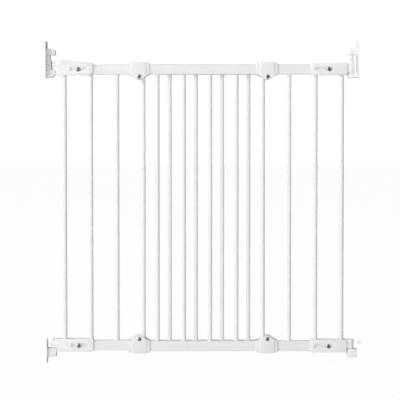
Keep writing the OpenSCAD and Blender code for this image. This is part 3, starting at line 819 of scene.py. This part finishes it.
cup = add_profile([(root, cup_low), (cup_x - 0.0075, cup_low), (cup_x, 0.7085), (cup_x, cup_floor),
                   (root, cup_floor)], latch_y - 0.0115, latch_y + ear_half)
soften(cup, 0.0009, 3, lambda a, b: max(a.x, b.x) > root + 0.004)
carve(bracket, cup, "UNION")
cheek = add_box((root, latch_y - 0.0114, 0.7092), (cup_x - 0.0001, latch_y - 0.0076, 0.720))
soften(cheek, 0.003, 4, lambda a, b: across_y(a, b) and a.z > 0.715 and a.x > root + 0.004)
soften(cheek, 0.0007, 2, lambda a, b: max(a.x, b.x) > root + 0.004)
carve(bracket, cheek, "UNION")
# the pocket that takes the bolt
pocket_half = 0.0047
carve(bracket, add_box((latch_wall + 0.005, latch_y - pocket_half, 0.721),
                       (latch_wall + 0.016, latch_y + pocket_half, 0.741)))
complete(bracket, "latch_top_bracket_moulding", "latch_brackets", "bracket_plastic", bracket_plastic,
         "latch_top_bracket")

bracket = build_plate(latch_wall, -1, latch_y, bottom_half, 0, bottom_height, bottom_r,
                      bottom_r, bottom_holes)
block = add_box((root, latch_y - ear_half, block_z[0]),
                (latch_wall + 0.0246, latch_y + ear_half, block_z[1]))
soften(block, 0.0015, 3, lambda a, b: max(a.x, b.x) > root + 0.004)
carve(bracket, block, "UNION")
complete(bracket, "latch_bottom_bracket_moulding", "latch_brackets", "bracket_plastic",
         bracket_plastic, "latch_bottom_bracket")

# ---------- hinge pins ----------
# The upper pin is a thick moulded rod held in both ears; the lower one is zinc plated steel
# standing in its block. Both have chamfered ends, and a centre dimple from turning or moulding.
zinc = finish_material("zinc_plate", (0.62, 0.63, 0.64), (0.50, 0.51, 0.52), 0.42, 0.24, metal=1.0,
                       grain=700.0, bump=0.3, bump_depth=0.00003, wear=0.5,
                       worn_tone=(0.42, 0.42, 0.42), cloud=60.0)
for level, slot_name, material in (("top", "bracket_plastic", bracket_plastic),
                                   ("bottom", "zinc_steel", zinc)):
    low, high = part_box(f"hinge_{level}_pin")
    middle = (low + high) / 2
    radius = (high.x - low.x) / 2
    pin = soften(add_rod(middle, radius, high.z - low.z, "Z"), 0.0009, 3)
    for end_z in (low.z, high.z):
        carve(pin, soften(add_rod((middle.x, middle.y, end_z), radius * 0.35, 0.002, "Z", sides=24),
                          0.0004, 2))
    complete(pin, f"hinge_{level}_pivot", "hinge_pins", slot_name, material, f"hinge_{level}_pin")

# ---------- button-head screws ----------
# Bright plated M6 screws with domed heads and hexagon sockets: two in the clamps of each
# frame and two in the slots of each side.
chrome = finish_material("bright_plating", (0.62, 0.66, 0.72), (0.50, 0.54, 0.60), 0.22, 0.10,
                         metal=1.0, grain=500.0, bump=0.15, bump_depth=0.00002, wear=0.3,
                         worn_tone=(0.40, 0.42, 0.46), cloud=120.0)
head_r = 0.0054
head_h = 0.0033
shank_r = 0.003
socket_r = 0.0023
socket_depth = 0.0019
row_of = {"left_clamp": "front_frame", "right_clamp": "rear_frame",
          "hinge_slot": "front_frame", "latch_slot": "rear_frame"}
for place, body in row_of.items():
    low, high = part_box(f"{place}_screws")
    x = (low.x + high.x) / 2
    screws = None
    for z in (low.z + head_r, high.z - head_r):
        screw = add_rod((x, low.y + head_h / 2, z), head_r, head_h, "Y")
        crown_y = low.y + same_place
        back_y = low.y + head_h - same_place
        soften(screw, 0.0024, 7, lambda a, b: a.y < crown_y and b.y < crown_y)
        soften(screw, 0.0003, 2, lambda a, b: a.y > back_y and b.y > back_y)
        shank = add_rod((x, (low.y + head_h + high.y) / 2 - 0.0002, z), shank_r,
                        high.y - low.y - head_h + 0.0004, "Y", sides=40)
        soften(shank, 0.0005, 2, lambda a, b: a.y > high.y - 0.0003 and b.y > high.y - 0.0003)
        carve(screw, shank, "UNION")
        carve(screw, add_rod((x, low.y + socket_depth / 2 - 0.001, z), socket_r,
                             socket_depth + 0.002, "Y", sides=6))
        screws = screw if screws is None else carve(screws, screw, "UNION")
    complete(screws, f"{place}_button_screws", body, "bright_screws", chrome, f"{place}_screws")

# ---------- nuts ----------
# Hexagon nuts with chamfered corners: flat ones pressed into the clamps' pockets and
# full-height ones in the recesses behind the slots.
nut_r = 0.00577
for place, body in row_of.items():
    low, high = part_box(f"{place}_nuts")
    x = (low.x + high.x) / 2
    y = (low.y + high.y) / 2
    nuts = None
    flat_half = nut_r * math.cos(math.pi / 6)
    for z in (low.z + flat_half, high.z - flat_half):
        hexagon = add_rod((x, y, z), nut_r, high.y - low.y, "Y", sides=6)
        turning = soften(add_rod((x, y, z), nut_r + 0.00002, high.y - low.y, "Y"), 0.0005, 2)
        carve(hexagon, turning, "INTERSECT")
        carve(hexagon, soften(add_rod((x, y, z), shank_r + pin_gap, 0.02, "Y", sides=40), 0.0001, 1))
        nuts = hexagon if nuts is None else carve(nuts, hexagon, "UNION")
    complete(nuts, f"{place}_hex_nuts", body, "zinc_steel", zinc, f"{place}_nuts")

# ---------- latch ----------
# A zinc plated strip slides in the upper sleeve's roof and is turned down at the nose into
# the bolt. The ribbed thumb slider stands on it, in the roof's window.
strip = add_box((bolt_low.x + 0.011, bolt_low.y + 0.001, 0.737),
                (bolt_high.x, bolt_high.y - 0.001, bolt_high.z))
soften(strip, 0.0004, 2)
bolt = add_box(bolt_low, (bolt_low.x + 0.0125, bolt_high.y, bolt_high.z))
soften(bolt, 0.0012, 3, lambda a, b: upright(a, b) and a.x < bolt_low.x + close_by)
soften(bolt, 0.0004, 2)
carve(bolt, strip, "UNION")
complete(bolt, "sliding_bolt", "latch", "zinc_steel", zinc, "latch_bolt")

pad_top = 0.7418
rib_foot = 0.7408
pad = add_box((slider_low.x, slider_low.y, slider_low.z + 0.0004),
              (slider_high.x, slider_high.y, pad_top))
soften(pad, 0.0007, 3)
for step in range(3):
    x = slider_low.x + 0.001 + step * 0.0045
    rib = add_box((x, slider_low.y + 0.0003, rib_foot),
                  (x + 0.002, slider_high.y - 0.0003, slider_high.z))
    crest_z = slider_high.z - same_place
    soften(rib, 0.0007, 3, lambda a, b: a.z > crest_z and b.z > crest_z)
    carve(pad, rib, "UNION")
foot = add_box((slider_low.x + 0.003, latch_y - 0.002, slider_low.z),
               (slider_high.x - 0.003, latch_y + 0.002, 0.741))
carve(pad, soften(foot, 0.0003, 2), "UNION")
complete(pad, "thumb_slide", "latch", "sleeve_plastic", sleeve_plastic, "thumb_slider")
